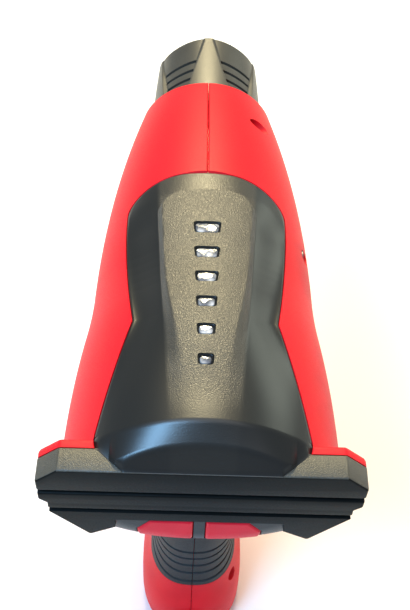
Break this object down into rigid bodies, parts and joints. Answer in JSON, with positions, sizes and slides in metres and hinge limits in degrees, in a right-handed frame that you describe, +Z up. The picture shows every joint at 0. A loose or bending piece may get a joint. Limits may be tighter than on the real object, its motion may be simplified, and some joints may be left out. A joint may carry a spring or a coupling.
{
  "type": "heat gun",
  "caption": "Pistol-grip heat gun with a ribbed nozzle guard, a row of indicator windows, two temperature buttons and a flat rear stand flange.",
  "frame": {"origin": "on the flat foot, straight below the handle's middle", "axes": "+Y along the barrel towards the nozzle, +Z up from the foot, +X to the gun's right"},
  "size_m": [0.101, 0.222, 0.2132],
  "materials": {
    "shell_red": "satin moulded plastic",
    "cover_black": "fine spark-erosion grain",
    "soft_grip": "matte",
    "button_red": "satin",
    "clear_window": "clear moulded plastic",
    "lamp": "clear",
    "board": "solder-masked laminate",
    "inner_plastic": "moulded",
    "filter_mesh": "fine mesh",
    "guard_black": "grained heat-resistant plastic",
    "tube_steel": "drawn tube",
    "mica": "mica laminate",
    "ceramic_white": "unglazed",
    "heater_wire": "resistance wire",
    "steel": "plated",
    "duct_plastic": "heat-resistant moulded",
    "magnet": "ferrite",
    "core_iron": "laminated",
    "copper": "enamelled copper",
    "bronze": "sintered bronze",
    "carbon": "carbon",
    "rubber_black": "matte",
    "component_black": "moulded epoxy",
    "capacitor_yellow": "dipped film",
    "aluminium": "extruded",
    "terminal_white": "moulded",
    "slider_red": "satin",
    "screw_steel": "black zinc"
  },
  "bodies": {
    "gun": {"housing_left": "shell_red", "housing_right": "shell_red", "grip_left": "soft_grip", "grip_right": "soft_grip", "top_cover": "cover_black", "led_windows": "clear_window", "leds": "lamp", "led_board": "board", "rear_cover": "cover_black", "intake_filter": "filter_mesh", "button_board": "board", "tact_switches": "component_black", "nozzle_guard": "guard_black", "nozzle_tube": "tube_steel", "mica_sleeve": "mica", "heater_former": "ceramic_white", "heating_coil": "heater_wire", "heater_base": "ceramic_white", "thermal_cutout": "steel", "temperature_sensor": "steel", "fan_housing": "duct_plastic", "motor_can": "steel", "motor_magnets": "magnet", "motor_end_cap": "inner_plastic", "front_bearing": "bronze", "rear_bearing": "bronze", "carbon_brushes": "carbon", "motor_damper": "rubber_black", "rectifier_board": "board", "rectifier_diodes": "component_black", "control_board": "board", "control_capacitor": "capacitor_yellow", "triac": "component_black", "triac_heatsink": "aluminium", "switch_bezel": "inner_plastic", "switch_body": "component_black", "terminal_block": "terminal_white", "cord_gland": "rubber_black", "cord_clamp": "inner_plastic", "cord_clamp_screws": "steel", "housing_screws": "screw_steel"},
    "fan": {"impeller": "inner_plastic", "armature_core": "core_iron", "armature_windings": "copper", "commutator": "copper", "motor_shaft": "steel"},
    "power_slider": {"switch_slider": "slider_red"},
    "temp_down": {"temp_down_button": "button_red"},
    "temp_up": {"temp_up_button": "button_red"}
  },
  "joints": [
    {"name": "fan_spin", "type": "hinge", "parent": "gun", "child": "fan", "pos_m": [0, 0.02, 0.165], "axis": [0, 1, 0], "continuous": true},
    {"name": "power_slide", "type": "slide", "parent": "gun", "child": "power_slider", "axis": [0, 0, 1], "range_m": [0, 0.009]},
    {"name": "temp_down_press", "type": "slide", "parent": "gun", "child": "temp_down", "axis": [0, 1, 0], "range_m": [0, 0.0008], "stiffness_N_per_m": 1500, "springref_m": -0.001},
    {"name": "temp_up_press", "type": "slide", "parent": "gun", "child": "temp_up", "axis": [0, 1, 0], "range_m": [0, 0.0008], "stiffness_N_per_m": 1500, "springref_m": -0.001}
  ]
}
